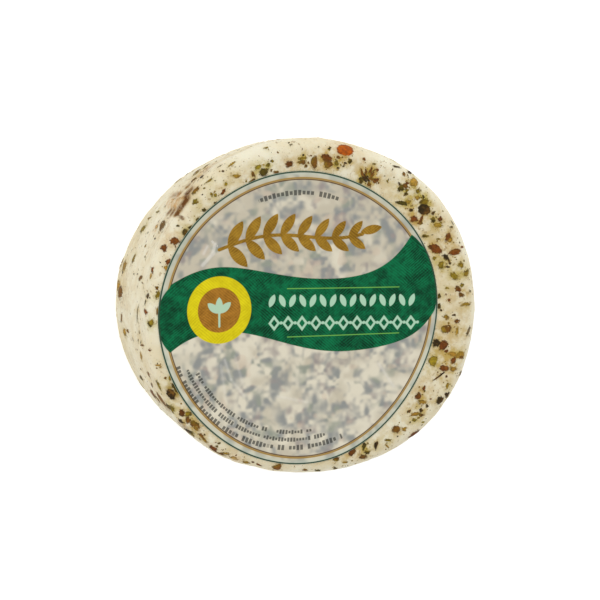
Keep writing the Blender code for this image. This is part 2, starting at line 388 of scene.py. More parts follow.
class Nodes:
    """Short ways to add and join the nodes of a material or a node group."""

    def __init__(self, tree):
        self.tree = tree

    def put(self, node, name, value):
        """Joins a socket, or gives a constant, to the input of that name or number."""
        socket = node.inputs[name]
        if isinstance(value, bpy.types.NodeSocket):
            self.tree.links.new(value, socket)
        elif socket.type == "RGBA":
            socket.default_value = (*value, 1.0)
        else:
            socket.default_value = value

    def add(self, kind, inputs, **settings):
        node = self.tree.nodes.new(kind)
        for name, value in settings.items():
            setattr(node, name, value)
        for name, value in inputs.items():
            self.put(node, name, value)
        return node

    def math(self, operation, *values, clamp=False):
        inputs = dict(enumerate(values))
        return self.add("ShaderNodeMath", inputs, operation=operation, use_clamp=clamp).outputs[0]

    def step(self, value, low, high, start=0.0, end=1.0):
        """A smooth step from start to end while the value goes from low to high."""
        inputs = {0: value, 1: low, 2: high, 3: start, 4: end}
        return self.add("ShaderNodeMapRange", inputs, interpolation_type="SMOOTHSTEP").outputs[0]

    def mix(self, share, first, second):
        inputs = {0: share, 6: first, 7: second}
        return self.add("ShaderNodeMix", inputs, data_type="RGBA").outputs[2]

    def noise(self, where, scale, detail=2.0, roughness=0.5):
        inputs = {"Vector": where, "Scale": scale, "Detail": detail, "Roughness": roughness}
        return self.add("ShaderNodeTexNoise", inputs).outputs["Fac"]

    def attribute(self, name, output="Fac"):
        return self.add("ShaderNodeAttribute", {}, attribute_name=name).outputs[output]

    def where(self):
        return self.add("ShaderNodeTexCoord", {}).outputs["Object"]

    def group(self, made, inputs):
        node = self.add("ShaderNodeGroup", {}, node_tree=made)
        for name, value in inputs.items():
            self.put(node, name, value)
        return node.outputs[0]


def new_group(name, inputs, output):
    """A node group with the named inputs and one output, its node helper and its two end nodes."""
    made = bpy.data.node_groups.new(name, "ShaderNodeTree")
    for title, kind in inputs.items():
        made.interface.new_socket(title, in_out="INPUT", socket_type=kind)
    made.interface.new_socket(output[0], in_out="OUTPUT", socket_type=output[1])
    return made, Nodes(made), made.nodes.new("NodeGroupInput").outputs, made.nodes.new("NodeGroupOutput")


def new_material(name):
    """An empty material, its node helper and its Principled shader."""
    made = bpy.data.materials.new(name)
    made.use_nodes = True
    return made, Nodes(made.node_tree), made.node_tree.nodes["Principled BSDF"]


STAIN_AND_SHADE_INPUTS = {"StainAndShade": "stain", "Warm": "warm_stain", "Leaf": "leaf_stain", "Shade": "shade"}


def make_curd_tint():
    """Colour of the curd anywhere: cream in soft patches, stain of three hues, painted shade, and two sizes
    of speck.

    Each share of stain or of painted shade is an input that reads a number of the mesh, named above.
    """
    inputs = {"Where": "NodeSocketVector"} | {title: "NodeSocketFloat" for title in STAIN_AND_SHADE_INPUTS}
    made, nodes, given, end = new_group("curd_tint", inputs, ("Color", "NodeSocketColor"))
    where = given["Where"]
    colour = nodes.mix(nodes.step(nodes.noise(where, 70.0, 3.0), 0.35, 0.68), CREAM, CREAM_DEEP)
    patch = nodes.step(nodes.noise(where, 300.0, 3.0, 0.6), 0.34, 0.66, 0.25, 1.5)
    for title, tone in zip(STAIN_AND_SHADE_INPUTS, (TAN_STAIN_AND_SHADE, WARM_STAIN, LEAF_STAIN)):
        share = nodes.math("MULTIPLY", given[title], patch, clamp=True)
        colour = nodes.mix(share, colour, tone)
    ragged = nodes.step(nodes.noise(where, 520.0, 3.0, 0.6), 0.3, 0.7, 0.6, 1.4)
    colour = nodes.mix(nodes.math("MULTIPLY", given["Shade"], ragged, clamp=True), colour, SHADE_BROWN)
    often = nodes.step(nodes.noise(where, 120.0, 2.0), 0.40, 0.60)
    coarse = nodes.math("MULTIPLY", nodes.step(nodes.noise(where, 620.0, 1.0), 0.62, 0.74), often)
    colour = nodes.mix(nodes.math("MULTIPLY", coarse, 0.6), colour, COARSE_SPECK)
    fine = nodes.step(nodes.noise(where, 1500.0, 1.0), 0.68, 0.78)
    colour = nodes.mix(nodes.math("MULTIPLY", fine, 0.4), colour, FINE_SPECK)
    nodes.put(end, 0, colour)
    return made


CREAM = linear(244, 238, 213)
CREAM_DEEP = linear(236, 224, 190)
# tan stain, which also carries painted shade in the torn places and hollows
TAN_STAIN_AND_SHADE = linear(198, 166, 92)
WARM_STAIN = linear(210, 160, 92)
LEAF_STAIN = linear(194, 186, 88)
# painted shade, for the torn hollows and the wall's shadow at the lower left
SHADE_BROWN = linear(104, 60, 0)
COARSE_SPECK = linear(156, 124, 66)
FINE_SPECK = linear(112, 88, 48)
HAIRLINE = linear(170, 152, 104)
# painted shade for the grooves of the torn wall
TORN_GROOVE_SHADE = linear(150, 104, 60)
curd_tint = make_curd_tint()


def tinted(nodes, where):
    """The curd's tint and painted shade, from the numbers that the mesh carries."""
    stain_and_shade_nodes = {title: nodes.attribute(name) for title, name in STAIN_AND_SHADE_INPUTS.items()}
    return nodes.group(curd_tint, {"Where": where} | stain_and_shade_nodes)


def cheese_material():
    """The curd's tint, level hairlines on the wall, and a fine, moist surface that lets light in."""
    made, nodes, shader = new_material("seasoned_ricotta")
    where = nodes.where()
    level = nodes.add("ShaderNodeMapping", {"Vector": where, "Scale": (1.0, 1.0, 5.0)}).outputs[0]
    flow = nodes.math("ABSOLUTE", nodes.math("SUBTRACT", nodes.noise(level, 150.0, 3.0, 0.55), 0.5))
    torn = nodes.attribute("torn")
    often = nodes.step(nodes.noise(where, 60.0), 0.46, 0.62, 0.0, 0.3)
    most = nodes.math("MAXIMUM", often, nodes.math("MULTIPLY", torn, 0.7))
    share = nodes.math("MULTIPLY", most, nodes.attribute("wall"), clamp=True)
    # The hairlines are darker lines along the grooves of the bump below; in torn places, painted shade in
    # the folds.
    crease = nodes.math("MULTIPLY", nodes.step(flow, 0.005, 0.05, 1.0, 0.0), share)
    hairline = nodes.mix(torn, HAIRLINE, TORN_GROOVE_SHADE)
    nodes.put(shader, "Base Color", nodes.mix(crease, tinted(nodes, where), hairline))
    nodes.put(shader, "Roughness", nodes.step(nodes.noise(where, 420.0), 0.3, 0.7, 0.38, 0.6))
    grain = nodes.math("MULTIPLY_ADD", nodes.noise(where, 420.0), 1.6, nodes.noise(where, 1500.0, 4.0, 0.6))
    depth = nodes.math("MULTIPLY", share, 1.6)
    folds = nodes.math("MULTIPLY_ADD", nodes.step(flow, 0.0, 0.12), depth, grain)
    bump = nodes.add("ShaderNodeBump", {"Height": folds, "Strength": 0.5, "Distance": 0.3 * MM})
    nodes.put(shader, "Normal", bump.outputs[0])
    nodes.put(shader, "Subsurface Weight", 0.15)
    nodes.put(shader, "Subsurface Radius", (1.0, 0.85, 0.65))
    nodes.put(shader, "Subsurface Scale", 1.5 * MM)
    nodes.put(shader, "Specular IOR Level", 0.25)
    return made


def make_wheel():
    """The wheel's rings laid smoothly, then brought onto the uneven cheese."""
    bearing = np.arange(WHEEL_SIDES) * 2.0 * math.pi / WHEEL_SIDES
    around = np.stack([np.cos(bearing), np.sin(bearing)], axis=1)
    rings = []
    for share, height, outer in wheel_rings():
        down, centre = axis_at(np.full(WHEEL_SIDES, height))
        rounding = FACE_EDGE_ROUND if height > 0.5 * WHEEL_HEIGHT else BASE_EDGE_ROUND
        radius = (rim_radius(bearing, down) - rounding) * share + outer
        flat = centre + radius[:, None] * around
        on_top = np.clip((height - WALL_TOP) / FACE_EDGE_ROUND, 0.0, 1.0)
        fall = (face_level(*flat.T) - WHEEL_HEIGHT) * on_top
        rings.append(np.column_stack([flat, height + fall]))
    uneven, _ = on_cheese(np.concatenate(rings), 0.0)
    rings = list(uneven.reshape(len(rings), WHEEL_SIDES, 3))
    points, faces = ringed_form(rings, rings[0].mean(axis=0), rings[-1].mean(axis=0))
    piece = new_piece("seasoned_cheese", points, faces, cheese_material(), "ricotta_wheel")
    add_numbers(piece, "wall", np.clip((WHEEL_HEIGHT - 3.0 * MM - points[:, 2]) / (4.0 * MM), 0.0, 1.0))
    add_numbers(piece, "torn", np.clip(crag_share(points), 0.0, 1.0))
    return piece, points


wheel, wheel_points = make_wheel()


# The flakes
# Dried herb and pepper, chopped unevenly and stirred into the curd before pressing: flat chips, sunk
# nearly flush, that stain the curd round them. Those that the photograph shows are listed where they
# lie there: x, y, length and width in pixels, and turn in degrees.
ORANGE, PEACH, RUST, BROWN, AMBER, OLIVE, HERB, DARK, GREY = range(9)
PEPPER = (ORANGE, PEACH, RUST, BROWN)
LEAF = (AMBER, OLIVE, HERB, DARK, GREY)
CHIP_COLOURS = np.array([  # of the kinds, in the order above
    linear(190, 94, 6),
    linear(228, 182, 112),
    linear(124, 68, 18),
    linear(126, 84, 26),
    linear(180, 140, 50),
    linear(156, 130, 32),
    linear(86, 72, 16),
    linear(62, 46, 16),
    linear(140, 126, 84),
])
# For the kinds in the same order: the colour of another kind that part of the chip takes, how far its
# edge melts into the curd, and how warm and how leafy the stain round it is.
SECOND_KINDS = np.array([ORANGE, AMBER, BROWN, OLIVE, OLIVE, HERB, OLIVE, BROWN, HERB])
KIND_FADES = np.array([0.0, 0.3, 0.0, 0.0, 0.1, 0.05, 0.0, 0.0, 0.4])
WARM_SHARES = np.array([0.3, 0.4, 0.1, 0.05, 0.03, 0.0, 0.0, 0.0, 0.0])
LEAF_SHARES = np.array([0.0, 0.0, 0.0, 0.05, 0.15, 0.3, 0.25, 0.1, 0.0])
SEEN_FLAKES = {
    ORANGE: [(345, 150, 16, 11, -8)],
    PEACH: [(157, 227, 6, 4, 60), (234, 458, 10, 5, -15)],
    RUST: [
        (326, 158, 11, 7, -20), (289, 164, 7, 6, 45), (164, 248, 7, 6, 0), (414, 434, 12, 3, 38),
        (175, 241, 9, 7, -20), (223, 192, 7, 3, 55), (153, 270, 6, 3, 80), (376, 180, 5, 4, 0),
        (377, 170, 3, 3, 0), (407, 183, 3, 3, 0), (414, 219, 8, 5, 0), (421, 219, 8, 3, 60),
        (448, 237, 9, 5, 70), (436, 249, 12, 8, -30), (431, 247, 5, 4, 0), (455, 252, 12, 6, 12),
        (458, 289, 7, 5, -30), (449, 300, 3, 3, 0), (457, 321, 5, 4, 0), (443, 345, 10, 8, 50),
        (453, 360, 7, 5, 80), (444, 368, 9, 6, -10), (424, 388, 5, 3, 80), (418, 396, 7, 6, 55),
        (182, 413, 7, 6, -60), (213, 448, 10, 4, -30), (352, 452, 8, 6, 50), (153, 394, 10, 6, -65),
        (146, 312, 6, 3, -70), (364, 159, 3, 3, 0), (259, 465, 6, 2, -30), (168, 262, 6, 4, 60),
        (446, 351, 4, 3, 0), (440, 219, 5, 4, 80), (150, 350, 3, 2, 0), (462, 247, 3, 2, 0),
    ],
    BROWN: [
        (195, 425, 12, 6, -40), (196, 191, 9, 4, 45), (197, 172, 8, 3, 45), (207, 166, 7, 3, 35),
        (163, 226, 11, 7, 68), (194, 180, 8, 2, 42), (122, 261, 5, 3, 80), (338, 157, 4, 3, 0),
        (328, 164, 9, 7, 0), (314, 162, 12, 6, 85), (302, 162, 8, 4, 10), (370, 172, 9, 4, 70),
        (362, 173, 9, 3, -65), (369, 184, 7, 3, -80), (366, 173, 9, 3, 95), (372, 175, 8, 3, 60),
        (374, 181, 7, 3, -50), (371, 179, 7, 3, -20), (446, 329, 10, 8, 20), (396, 429, 8, 7, 0),
        (421, 415, 5, 3, 0), (188, 420, 5, 7, 0), (162, 400, 17, 5, -52), (277, 467, 9, 6, 0),
        (305, 470, 6, 2, 0), (336, 459, 6, 4, 0), (363, 457, 7, 5, 0), (121, 292, 12, 5, 85),
        (157, 288, 4, 3, -45), (122, 318, 8, 2, 80), (128, 331, 4, 2, -70), (149, 374, 6, 3, -70),
        (152, 385, 6, 4, 70), (253, 174, 6, 3, -60), (276, 172, 5, 3, 0), (252, 181, 8, 3, 40),
        (461, 295, 5, 5, 0), (158, 311, 8, 3, 85), (453, 362, 5, 3, 20), (409, 411, 3, 3, 0),
        (420, 223, 5, 3, 0), (141, 278, 5, 3, 50), (143, 345, 4, 2, 0), (461, 357, 5, 3, 0),
        (404, 174, 3, 4, 0), (405, 186, 6, 5, 30), (220, 453, 11, 2, -25), (202, 436, 9, 3, -50),
        (158, 399, 8, 5, -60),
    ],
    AMBER: [
        (438, 225, 9, 5, 0), (446, 317, 6, 5, 0), (460, 355, 10, 7, 20), (452, 354, 10, 5, -10),
        (422, 402, 9, 5, 0), (415, 414, 11, 4, 10), (387, 446, 6, 2, -45), (205, 440, 8, 3, -50),
        (226, 453, 8, 3, -15), (119, 285, 9, 4, 85), (158, 365, 6, 2, 0), (236, 176, 8, 4, 10),
        (142, 356, 8, 3, -80), (453, 369, 7, 5, 0), (466, 304, 9, 4, 10), (345, 462, 6, 2, 0),
        (404, 429, 6, 4, 0), (166, 268, 6, 4, 80), (151, 276, 7, 2, 75), (125, 266, 10, 4, 80),
        (125, 332, 9, 4, -75), (146, 246, 4, 2, 50), (457, 331, 9, 3, 85), (450, 240, 6, 4, 60),
        (417, 198, 6, 4, 0), (408, 202, 6, 4, 0), (414, 182, 10, 8, 80), (196, 428, 7, 4, -40),
        (246, 462, 8, 3, -20),
    ],
    OLIVE: [
        (195, 202, 6, 5, 80), (143, 229, 10, 4, 55), (226, 184, 3, 3, 0), (211, 194, 3, 3, 0),
        (215, 195, 3, 4, 0), (232, 164, 9, 2, 35), (205, 168, 5, 2, 20), (197, 173, 7, 3, 45),
        (178, 180, 8, 3, 45), (209, 181, 10, 2, 40), (134, 259, 9, 3, 78), (336, 163, 6, 4, -70),
        (258, 167, 8, 4, 25), (268, 165, 5, 4, 60), (272, 161, 3, 3, 0), (407, 190, 4, 4, 0),
        (424, 202, 9, 6, 0), (434, 258, 5, 3, 0), (441, 265, 8, 6, 60), (461, 265, 6, 5, 80),
        (466, 273, 7, 5, 60), (454, 276, 9, 6, -40), (462, 285, 4, 4, 0), (433, 361, 10, 9, 80),
        (447, 386, 6, 3, 80), (388, 440, 6, 3, 0), (188, 414, 7, 6, 0), (172, 409, 8, 5, -60),
        (159, 385, 11, 3, -65), (170, 378, 5, 3, 80), (158, 212, 4, 3, 0), (374, 164, 3, 2, 0),
        (158, 295, 8, 5, 80), (151, 323, 8, 6, 70), (150, 218, 5, 2, 10), (266, 148, 5, 2, 15),
        (387, 181, 3, 2, 80), (414, 420, 4, 3, 0), (447, 288, 4, 2, 0), (438, 239, 4, 2, 0),
        (303, 158, 7, 3, 0), (418, 191, 5, 4, 60), (392, 160, 5, 2, -20), (423, 422, 3, 2, 0),
    ],
    HERB: [
        (185, 232, 7, 5, 60), (204, 210, 5, 3, 20), (178, 226, 3, 2, 0), (216, 203, 4, 3, 0),
        (264, 172, 9, 7, 30), (401, 188, 7, 6, 60), (406, 194, 4, 3, 0), (361, 182, 4, 3, 0),
        (423, 197, 4, 3, 60), (402, 203, 11, 4, -10), (433, 220, 5, 5, 0), (425, 236, 8, 3, 0),
        (439, 296, 5, 3, 85), (439, 306, 6, 3, 85), (364, 446, 7, 4, 80), (141, 378, 6, 4, -55),
        (176, 388, 9, 6, -50), (219, 443, 3, 2, 0), (318, 470, 5, 2, 0), (367, 452, 6, 4, 0),
        (350, 161, 4, 5, 0), (191, 433, 8, 4, -42), (361, 179, 5, 4, 0), (163, 402, 10, 4, -52),
        (169, 407, 8, 3, -50), (198, 220, 6, 4, 50), (190, 227, 5, 2, 45), (335, 468, 5, 2, 0),
        (451, 227, 3, 2, 0),
    ],
    DARK: [
        (202, 177, 5, 3, 40), (223, 171, 3, 2, 0), (156, 239, 3, 2, 0), (345, 163, 3, 2, 0),
        (410, 172, 5, 3, -30), (411, 210, 4, 3, 0), (424, 209, 12, 11, 0), (338, 168, 3, 2, 0),
        (366, 178, 10, 7, -40), (433, 213, 4, 3, 80), (446, 257, 7, 5, -45), (450, 263, 3, 3, 0),
        (448, 267, 4, 2, 0), (454, 315, 4, 2, 0), (436, 343, 8, 7, 80), (439, 376, 13, 2, 38),
        (329, 149, 3, 2, 0), (447, 395, 6, 4, 55), (440, 400, 8, 6, 50), (427, 406, 3, 3, 0),
        (421, 410, 4, 4, 0), (376, 445, 8, 4, 80), (187, 431, 6, 3, -40), (148, 296, 5, 3, 80),
        (181, 421, 6, 3, -40), (171, 394, 11, 8, -50), (183, 429, 15, 2, -45), (396, 167, 7, 2, -10),
        (303, 155, 2, 2, 0), (399, 184, 4, 2, 90), (430, 247, 4, 3, 0),
    ],
    GREY: [
        (138, 314, 23, 2, 82), (134, 274, 3, 2, 60), (138, 274, 3, 2, 60), (143, 283, 4, 2, -45),
        (146, 257, 4, 2, 75), (146, 302, 9, 2, 85), (133, 339, 9, 2, -74), (140, 332, 6, 2, -80),
        (139, 340, 4, 2, -85), (142, 342, 5, 2, 75), (166, 207, 4, 2, 30), (220, 166, 7, 2, 35),
        (148, 233, 3, 2, 45), (468, 331, 13, 4, 70), (460, 373, 8, 4, 60), (291, 145, 5, 2, 0),
        (470, 291, 3, 3, 0), (433, 380, 3, 2, 0), (452, 223, 8, 2, -58), (141, 369, 3, 3, 0),
    ],
}
LEAST_FACING = 0.36  # limits how far a chip on a steep part is drawn out
SEEN_GROWTH = 1.05  # makes up for the edge that melts into the curd
CHIP_SIDES = 12
CHIP_SHARES = np.array([0.6, 1.0, 1.5])  # of its outline, for its rings
CHIP_LIFTS = np.array([0.13, 0.09, -0.06]) * MM
CHIP_SWAYS = ((2, 0.16), (3, 0.18), (4, 0.12), (5, 0.10))  # turns round the outline, and greatest depth
OUTLINE_SHARE = 1.05  # where the chip's colour gives way to the curd's
CRISP_SIZE = 2.4 * MM  # chips larger than this have a less ragged edge for their size
CRUMB_SIDES = 7
CRUMB_SHARES = np.array([0.7, 1.3])
CRUMB_LIFTS = np.array([0.09, -0.05]) * MM
CHIP_SUNK = 0.5 * MM
HIDDEN_CHIPS = 230
HIDDEN_MIX = (RUST, RUST, BROWN, BROWN, AMBER, OLIVE, OLIVE, HERB, HERB, DARK, GREY, ORANGE)
NEAR_CRUMBS = 800
LOOSE_CRUMBS = 1100
CRUMB_MIX = (RUST, BROWN, BROWN, AMBER, AMBER, OLIVE, OLIVE, OLIVE, HERB, HERB, DARK)
WALL_CRUMBS_KEPT = 0.5
MARGIN_WIDTH = 12.0 * MM  # of the band round the face that chips and crumbs are strewn over


def chip_outlines(draw, lengths, widths, turns, sides):
    """Offsets of the corners of uneven chips: ellipses whose radius sways by cosines round the outline.

    The largest chips sway least.
    """
    count = len(lengths)
    angle = 2.0 * math.pi * (np.arange(sides) + draw.uniform(-0.3, 0.3, (count, sides))) / sides
    reach = draw.uniform(-0.06, 0.06, (count, sides))
    for turns_round, depth in CHIP_SWAYS:
        phase = draw.uniform(0.0, 2.0 * math.pi, (count, 1))
        reach += draw.uniform(0.0, depth, (count, 1)) * np.cos(turns_round * angle + phase)
    reach = 1.0 + reach * np.clip((CRISP_SIZE / np.sqrt(lengths * widths)) ** 1.5, 0.2, 1.0)[:, None]
    u = 0.5 * lengths[:, None] * np.cos(angle) * reach
    v = 0.5 * widths[:, None] * np.sin(angle) * reach
    cos, sin = np.cos(turns)[:, None], np.sin(turns)[:, None]
    return u * cos - v * sin, u * sin + v * cos, angle


def surface_axes(outward):
    """Two directions along the surface at right angles: level round the wall, and up it."""
    pole = np.where((outward[:, 2:] ** 2) > 0.5, (0.0, 1.0, 0.0), (0.0, 0.0, 1.0))
    right = np.cross(pole, outward)
    right /= np.linalg.norm(right, axis=1)[:, None]
    return right, np.cross(outward, right)


class Chips:
    """Many chips of one fineness: kinds, sizes and places, then their points, colours and edge shares.

    Each chip is a middle point, rings that are shares of its outline, and a point below. All are
    brought onto the cheese and raised, the outer ring least.
    """

    def __init__(self, draw, laid_out, fades, shares, lifts, sides):
        kinds, lengths, widths, turns, places, u_ways, v_ways = laid_out
        count, rings = len(kinds), len(shares)
        self.kinds, self.places, self.sides, self.rings = kinds, places, sides, rings
        self.sizes = np.sqrt(lengths * widths)
        a, b, angle = chip_outlines(draw, lengths, widths, turns, sides)
        offsets = a[:, :, None] * u_ways[:, None] + b[:, :, None] * v_ways[:, None]
        laid = places[:, None, None] + shares[None, :, None, None] * offsets[:, None]
        middle = places[:, None]
        points = np.concatenate([middle, laid.reshape(count, -1, 3), middle], axis=1)
        lift = np.concatenate([[lifts[0] * 1.1], np.repeat(lifts, sides), [-CHIP_SUNK]])
        lift = (lift * draw.uniform(0.75, 1.35, (count, 1))).ravel()
        self.points = on_cheese(points.reshape(-1, 3), lift)[0].reshape(count, -1, 3)
        crisp = np.clip((self.sizes / CRISP_SIZE) ** 1.5, 1.0, 4.0)[:, None]
        beyond = np.concatenate([[0.0], np.repeat(shares, sides), [shares[-1]]]) - OUTLINE_SHARE
        self.edge = OUTLINE_SHARE + crisp * beyond + fades[:, None]
        own = CHIP_COLOURS[kinds] * draw.uniform(0.85, 1.35, (count, 1))
        own *= draw.uniform(0.94, 1.06, (count, 3))
        other = CHIP_COLOURS[SECOND_KINDS[kinds]] * draw.uniform(0.8, 1.2, (count, 1))
        side_way, amount = draw.uniform(0.0, 2.0 * math.pi, count), draw.uniform(-0.4, 1.0, count)
        ringed = np.clip(np.cos(angle - side_way[:, None]) * 1.4, 0.0, 1.0)
        ringed *= np.clip(amount, 0.0, 1.0)[:, None]
        part = np.concatenate([np.zeros((count, 1)), np.tile(ringed, rings), np.zeros((count, 1))], axis=1)
        self.colours = own[:, None] + part[:, :, None] * (other - own)[:, None]

    def faces(self, count):
        """The faces of so many chips: a fan, bands of quads between rings, and a fan to the point below."""
        here = np.arange(self.sides)
        after = (here + 1) % self.sides
        per_chip = self.points.shape[1]
        fan = np.stack([np.zeros(self.sides, int), 1 + here, 1 + after], axis=1)
        rim = 1 + (self.rings - 1) * self.sides
        under = np.stack([np.full(self.sides, per_chip - 1), rim + after, rim + here], axis=1)
        inner = (1 + np.arange(self.rings - 1) * self.sides)[:, None]
        outer = inner + self.sides
        bands = np.stack([inner + here, outer + here, outer + after, inner + after], axis=-1).reshape(-1, 4)
        starts = (np.arange(count) * per_chip)[:, None, None]
        threes = (starts + np.concatenate([fan, under])).reshape(-1, 3)
        return threes.tolist() + (starts + bands).reshape(-1, 4).tolist()


def seen_layout():
    """The listed flakes, drawn out along the surface as they are foreshortened in the photograph."""
    marks = np.array([(kind, *mark) for kind, group in SEEN_FLAKES.items() for mark in group], float)
    places, outward = seen_places(marks[:, 1:3])
    pixel = ((camera_place - places) @ sight / LENS_PIXELS)[:, None]
    steep = np.maximum(outward @ sight, LEAST_FACING)[:, None]
    u_ways, v_ways = (way - sight * (outward @ way)[:, None] / steep for way in (camera_right, camera_up))
    sizes = SEEN_GROWTH * marks[:, 3:5] * pixel
    kinds, turns = marks[:, 0].astype(int), np.radians(marks[:, 5])
    return kinds, sizes[:, 0], sizes[:, 1], turns, places, u_ways, v_ways


def spread_over(draw, count, tries, low):
    """Places drawn evenly over the wall from a height up and over the face's margin, clear of the label.

    Of several tries the one farthest from the others drawn so far is kept.
    """
    kept = np.empty((0, 3))
    while len(kept) < count:
        bearing = draw.uniform(0.0, 2.0 * math.pi, tries)
        way = draw.uniform(low, WALL_TOP + MARGIN_WIDTH, tries)
        radius = FACE_RADIUS - np.maximum(way - WALL_TOP, 0.0)
        height = np.where(way > WALL_TOP, WHEEL_HEIGHT, way)
        flat = FACE_CENTRE[:, None] + radius * np.array([np.cos(bearing), np.sin(bearing)])
        places, _ = onto_wheel(np.column_stack([flat.T, height]))
        places = places[clear_of_label(places, 1.0 * MM)]
        if len(places) == 0:
            continue
        if len(kept):
            room = np.min(np.linalg.norm(kept[None] - places[:, None], axis=2), axis=1)
            places = places[[int(np.argmax(room))]]
        kept = np.concatenate([kept, places[:1]])
    return kept


def clear_of_label(places, room):
    """Whether each place is well down the wall, or beyond the label's edge by the room given."""
    from_label = np.hypot(*(places[:, :2] - LABEL_CENTRE).T)
    return (places[:, 2] < WALL_TOP - 4.0 * MM) | (from_label > LABEL_RADIUS + room)


def hidden_layout(draw):
    """Flakes like the listed ones on the sides that the photograph doesn't show."""
    places = spread_over(draw, HIDDEN_CHIPS, tries=12, low=3.0 * MM)
    _, outward = onto_wheel(places)
    unseen = outward @ sight < 0.0
    places, outward = places[unseen], outward[unseen]
    count = len(places)
    kinds = draw.choice(HIDDEN_MIX, count)
    lengths = draw.uniform(1.4 * MM, 4.8 * MM, count)
    widths = lengths * draw.uniform(0.4, 0.85, count)
    return kinds, lengths, widths, draw.uniform(0.0, math.pi, count), places, *surface_axes(outward)


def crumb_layout(draw, large):
    """Crumbs strewn close to the larger chips, and loose ones everywhere, drawn out level on the wall."""
    hosts = draw.integers(0, len(large.places), NEAR_CRUMBS)
    reach = 0.55 * large.sizes[hosts] + 0.5 * MM
    spots = large.places[hosts] + draw.normal(0.0, 1.0, (NEAR_CRUMBS, 3)) * reach[:, None]
    loose = spread_over(draw, LOOSE_CRUMBS, tries=2, low=1.0 * MM)
    places, outward = onto_wheel(np.concatenate([spots, loose]))
    on_wall = places[:, 2] < WALL_TOP
    spared = draw.uniform(0.0, 1.0, len(places)) < WALL_CRUMBS_KEPT
    kept = clear_of_label(places, 0.0) & (~on_wall | spared)
    places, outward, on_wall = places[kept], outward[kept], on_wall[kept]
    count = len(places)
    kinds = draw.choice(CRUMB_MIX, count)
    lengths = (0.5 * MM + 1.2 * MM * draw.uniform(0.0, 1.0, count) ** 2.2) * np.where(on_wall, 1.5, 1.0)
    widths = lengths * draw.uniform(0.45, 0.95, count) * np.where(on_wall, 0.55, 1.0)
    turns = np.where(on_wall, draw.normal(0.0, 0.3, count), draw.uniform(0.0, math.pi, count))
    return kinds, lengths, widths, turns, places, *surface_axes(outward)


WALL_STAIN = 0.13
MARGIN_STAIN = 0.38
FACE_FALL = 9  # power by which the margin's stain falls off over the rounded edge
CHIP_STAIN = 0.28
# Painted shade, with some stain: the torn places are darkened, most in the folds between their ridges.
TORN_STAIN_AND_SHADE = 0.12  # and as much warm stain
FOLD_SHADE = 0.4
# painted shade: the hollows' shade also lays this much of the tan stain colour
HOLLOW_SHADE_TAN = 0.8


def add_stains_and_shade(piece, points, chips):
    """Stain and painted shade at each point: bell curves of the distance from the chips, and the hollows'.
    """
    from_label = np.hypot(*(points[:, :2] - LABEL_CENTRE).T)
    on_face = np.clip((points[:, 2] - WALL_TOP) / FACE_EDGE_ROUND, 0.0, 1.0) ** FACE_FALL
    on_wall = np.clip((WALL_TOP - points[:, 2]) / (8.0 * MM), 0.0, 1.0)
    stain = WALL_STAIN * on_wall + MARGIN_STAIN * on_face * (from_label > LABEL_RADIUS - 5.0 * MM)
    torn = crag_share(points) * (1.0 - on_face)
    _, shade, warm = hollows_at(points)
    in_fold = np.clip(-fold_lines(points), 0.0, 1.0)
    # Painted shade over the torn places, deepest in their folds, and in the hollows.
    stain += (TORN_STAIN_AND_SHADE + FOLD_SHADE * in_fold) * torn + HOLLOW_SHADE_TAN * shade
    warm += TORN_STAIN_AND_SHADE * torn
    leaf = np.zeros(len(points))
    for kind, size, place in zip(chips.kinds, chips.sizes, chips.places):
        reach = 0.55 * size + 0.6 * MM
        off = np.linalg.norm(points - place, axis=1)
        near = off < 3.0 * reach
        tint = np.exp(-0.5 * (off[near] / reach) ** 2) * min(size / (2.5 * MM), 1.0)
        stain[near] += CHIP_STAIN * tint
        warm[near] += WARM_SHARES[kind] * tint
        leaf[near] += LEAF_SHARES[kind] * tint
    # The stain numbers carry painted shade from the hollows and torn folds too; the shade numbers are
    # painted shade.
    add_numbers(piece, "stain", np.clip(stain, 0.0, 1.0))
    add_numbers(piece, "warm_stain", np.clip(warm, 0.0, 0.8))
    add_numbers(piece, "leaf_stain", np.clip(leaf, 0.0, 0.6))
    add_numbers(piece, "shade", np.clip(shade, 0.0, 1.0))


PALE_FLECK = linear(172, 124, 50)
DARK_FLECK = (0.014, 0.009, 0.003)  # in linear values, as the next
FLAKE_RIM = (0.02, 0.012, 0.004)


def flake_material():
    """Dry leaf or pepper skin: the chip's own colours, mottled, that melt raggedly into the curd's tint."""
    made, nodes, shader = new_material("dried_flake")
    where = nodes.where()
    own = nodes.attribute("chip_colour", "Color")
    mottle = nodes.step(nodes.noise(where, 1000.0, 3.0, 0.6), 0.3, 0.7)
    dark = nodes.mix(0.5, own, DARK_FLECK)
    pale = nodes.mix(nodes.step(nodes.noise(where, 520.0, 2.0), 0.5, 0.7, 0.0, 0.4), own, PALE_FLECK)
    own = nodes.mix(mottle, dark, pale)
    own = nodes.mix(nodes.step(nodes.attribute("edge"), 0.2, 1.1, 0.0, 0.45), own, FLAKE_RIM)
    ragged = nodes.math("MULTIPLY_ADD", nodes.noise(where, 1300.0, 2.0), 1.3, nodes.attribute("edge"))
    colour = nodes.mix(nodes.step(ragged, 1.4, 2.0), own, tinted(nodes, where))
    nodes.put(shader, "Base Color", colour)
    nodes.put(shader, "Roughness", nodes.step(mottle, 0.0, 1.0, 0.5, 0.7))
    nodes.put(shader, "Specular IOR Level", 0.15)
    grain = nodes.noise(where, 1300.0, 3.0)
    bump = nodes.add("ShaderNodeBump", {"Height": grain, "Strength": 0.5, "Distance": 0.25 * MM})
    nodes.put(shader, "Normal", bump.outputs[0])
    return made


def make_flakes(name, chips, kinds, stainers):
    """One mesh of the chips of the kinds given, each with its own colours."""
    chosen = np.isin(chips.kinds, kinds)
    points = chips.points[chosen].reshape(-1, 3)
    piece = new_piece(name, points, chips.faces(int(chosen.sum())), flake_finish, "ricotta_wheel")
    add_colours(piece, "chip_colour", chips.colours[chosen].reshape(-1, 3))
    add_numbers(piece, "edge", chips.edge[chosen].ravel())
    add_stains_and_shade(piece, points, stainers)


